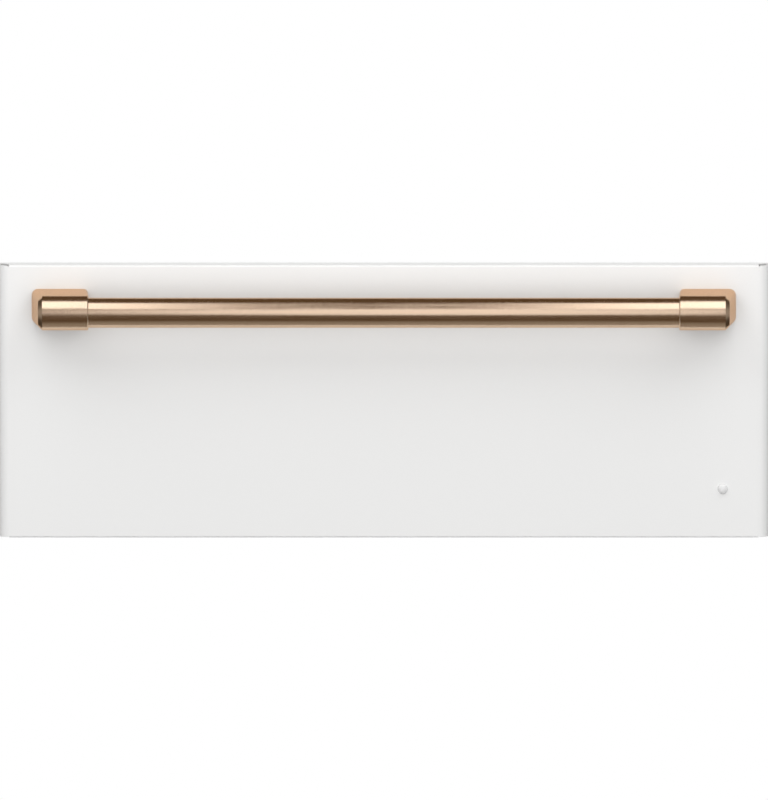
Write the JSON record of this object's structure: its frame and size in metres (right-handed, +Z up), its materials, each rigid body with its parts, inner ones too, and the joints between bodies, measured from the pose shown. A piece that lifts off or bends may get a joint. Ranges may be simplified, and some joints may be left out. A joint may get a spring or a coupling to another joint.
{
  "type": "built-in warming drawer",
  "caption": "Built-in warming drawer: white folded front with a long bronze-toned bar handle, food pan on telescopic ball runners, heated insulated case.",
  "frame": {"origin": "centre of the four cabinet screws, on the seat of the front flange against the cabinet face", "axes": "+X to the right as the user faces it, +Y into the cabinet, +Z up"},
  "size_m": [0.7556, 0.6746, 0.2699],
  "materials": {
    "white_enamel": "matt, fine-textured",
    "bronze_bar": "bronze-toned, brushed round the bar",
    "bronze_cast": "bronze-toned, satin",
    "lens_plastic": "clear over white, glossy",
    "stainless": "brushed",
    "pan_steel": "fine satin",
    "cavity_steel": "bright annealed",
    "galvanised": "galvanised, light spangle",
    "runner_zinc": "zinc plated",
    "bearing_steel": "polished",
    "rack_chrome": "chromed wire",
    "screw_steel": "zinc plated",
    "glass_wool": "matted glass wool",
    "seal_silicone": "matt silicone",
    "bumper_rubber": "matt",
    "element_sheath": "heat-darkened",
    "reflector_aluminised": "aluminised, dull bright",
    "ceramic_white": "unglazed",
    "black_plastic": "fine texture",
    "shaft_brass": "turned",
    "dial_aluminium": "satin anodised",
    "lamp_plastic": "translucent amber",
    "loom_sleeve": "braided glass sleeve"
  },
  "bodies": {
    "chassis": {"front_flange": "stainless", "front_bulkhead": "stainless", "cavity_liner": "cavity_steel", "cavity_rear": "cavity_steel", "case_wrap": "galvanised", "case_base": "galvanised", "case_rear": "galvanised", "junction_cover": "galvanised", "slide_outer_left": "runner_zinc", "slide_outer_right": "runner_zinc", "case_screws": "screw_steel", "insulation_top": "glass_wool", "insulation_left": "glass_wool", "insulation_right": "glass_wool", "insulation_base": "glass_wool", "insulation_rear": "glass_wool", "slide_bumpers": "bumper_rubber", "heating_element": "element_sheath", "heat_reflector": "reflector_aluminised", "element_clips": "reflector_aluminised", "element_bushes": "ceramic_white", "terminal_block": "ceramic_white", "control_switch": "black_plastic", "thermal_limiter": "black_plastic", "dial_plate": "dial_aluminium", "indicator_lamp": "lamp_plastic", "wiring_loom": "loom_sleeve"},
    "drawer": {"front_skin": "white_enamel", "front_backer": "stainless", "front_insulation": "glass_wool", "handle_tube": "bronze_bar", "handle_bracket_left": "bronze_cast", "handle_bracket_right": "bronze_cast", "handle_screws": "screw_steel", "indicator_lens": "lens_plastic", "drawer_gasket": "seal_silicone", "drawer_side_left": "stainless", "drawer_side_right": "stainless", "drawer_back": "stainless", "drawer_pan": "pan_steel", "drawer_screws": "screw_steel", "vent_guides": "stainless", "slide_inner_left": "runner_zinc", "slide_inner_right": "runner_zinc"},
    "middle_left": {"slide_middle_left": "runner_zinc"},
    "outer_cage_left": {"ball_cage_outer_left": "runner_zinc", "slide_balls_outer_left": "bearing_steel"},
    "inner_cage_left": {"ball_cage_inner_left": "runner_zinc", "slide_balls_inner_left": "bearing_steel"},
    "lever_left": {"release_lever_left": "black_plastic"},
    "middle_right": {"slide_middle_right": "runner_zinc"},
    "outer_cage_right": {"ball_cage_outer_right": "runner_zinc", "slide_balls_outer_right": "bearing_steel"},
    "inner_cage_right": {"ball_cage_inner_right": "runner_zinc", "slide_balls_inner_right": "bearing_steel"},
    "lever_right": {"release_lever_right": "black_plastic"},
    "vent": {"vent_slide": "stainless"},
    "rack": {"warming_rack": "rack_chrome"},
    "knob": {"control_knob": "black_plastic", "switch_shaft": "shaft_brass"}
  },
  "joints": [
    {"name": "drawer_slide", "type": "slide", "parent": "chassis", "child": "drawer", "axis": [0, -1, 0], "range_m": [0, 0.46]},
    {"name": "middle_left_slide", "type": "slide", "parent": "chassis", "child": "middle_left", "axis": [0, -1, 0], "range_m": [0, 0.23]},
    {"name": "outer_cage_left_slide", "type": "slide", "parent": "chassis", "child": "outer_cage_left", "axis": [0, -1, 0], "range_m": [0, 0.115]},
    {"name": "inner_cage_left_slide", "type": "slide", "parent": "chassis", "child": "inner_cage_left", "axis": [0, -1, 0], "range_m": [0, 0.345]},
    {"name": "lever_left_tilt", "type": "hinge", "parent": "drawer", "child": "lever_left", "pos_m": [-0.3122, 0.1, 0.01], "axis": [1, 0, 0], "range_deg": [0, 4], "stiffness_Nm_per_rad": 0.05, "springref_deg": -5.73},
    {"name": "middle_right_slide", "type": "slide", "parent": "chassis", "child": "middle_right", "axis": [0, -1, 0], "range_m": [0, 0.23]},
    {"name": "outer_cage_right_slide", "type": "slide", "parent": "chassis", "child": "outer_cage_right", "axis": [0, -1, 0], "range_m": [0, 0.115]},
    {"name": "inner_cage_right_slide", "type": "slide", "parent": "chassis", "child": "inner_cage_right", "axis": [0, -1, 0], "range_m": [0, 0.345]},
    {"name": "lever_right_tilt", "type": "hinge", "parent": "drawer", "child": "lever_right", "pos_m": [0.3122, 0.1, 0.01], "axis": [-1, 0, 0], "range_deg": [0, 4], "stiffness_Nm_per_rad": 0.05, "springref_deg": -5.73},
    {"name": "vent_slide_move", "type": "slide", "parent": "drawer", "child": "vent", "axis": [1, 0, 0], "range_m": [0, 0.012]},
    {"name": "rack_lift", "type": "slide", "parent": "drawer", "child": "rack", "axis": [0, 0, 1], "range_m": [0, 0.055]},
    {"name": "knob_turn", "type": "hinge", "parent": "chassis", "child": "knob", "pos_m": [-0.345, -0.002, 0.04], "axis": [0, 1, 0], "range_deg": [0, 270]}
  ],
  "couplings": [
    {"joint": "middle_left_slide", "follows": "drawer_slide", "ratio": 0.5},
    {"joint": "outer_cage_left_slide", "follows": "drawer_slide", "ratio": 0.25},
    {"joint": "inner_cage_left_slide", "follows": "drawer_slide", "ratio": 0.75},
    {"joint": "middle_right_slide", "follows": "drawer_slide", "ratio": 0.5},
    {"joint": "outer_cage_right_slide", "follows": "drawer_slide", "ratio": 0.25},
    {"joint": "inner_cage_right_slide", "follows": "drawer_slide", "ratio": 0.75}
  ]
}
